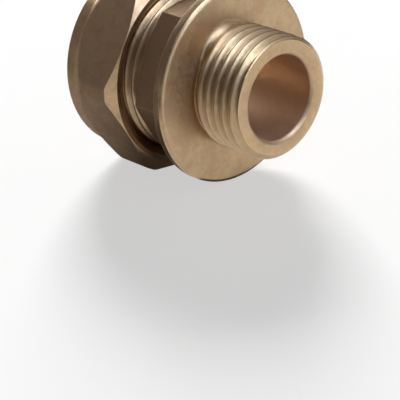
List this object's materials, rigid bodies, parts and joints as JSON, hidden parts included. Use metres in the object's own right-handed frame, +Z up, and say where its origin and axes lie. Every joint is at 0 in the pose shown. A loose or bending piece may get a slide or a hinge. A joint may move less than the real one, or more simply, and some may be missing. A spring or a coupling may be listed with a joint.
{
  "type": "compression coupling",
  "caption": "Straight brass compression coupling: flanged body with a parallel male pipe thread, and a hexagonal nut that squeezes a loose olive onto plain tube.",
  "frame": {"origin": "on the coupling's axis, in the plane of the flange's sealing face, where the male pipe thread begins", "axes": "+X along the axis, out through the male pipe thread; the tube end points to -X; +Z up, with a flat of the compression nut facing straight down"},
  "size_m": [0.0347, 0.037, 0.0342],
  "materials": {
    "body_brass": "satin, as turned",
    "nut_brass": "satin, as pressed and turned",
    "olive_brass": "fine turned"
  },
  "bodies": {
    "coupling": {"coupling_body": "body_brass"},
    "olive": {"olive": "olive_brass"},
    "nut": {"compression_nut": "nut_brass"}
  },
  "joints": [
    {"name": "nut_travel", "type": "slide", "parent": "coupling", "child": "olive", "axis": [-1, 0, 0], "range_m": [0, 0.0041]},
    {"name": "nut_turn", "type": "hinge", "parent": "olive", "child": "nut", "pos_m": [-0.018, 0, 0], "axis": [-1, 0, 0], "range_deg": [0, 810]}
  ],
  "couplings": [
    {"joint": "nut_travel", "follows": "nut_turn", "m_per_rad": 0.00028875}
  ]
}
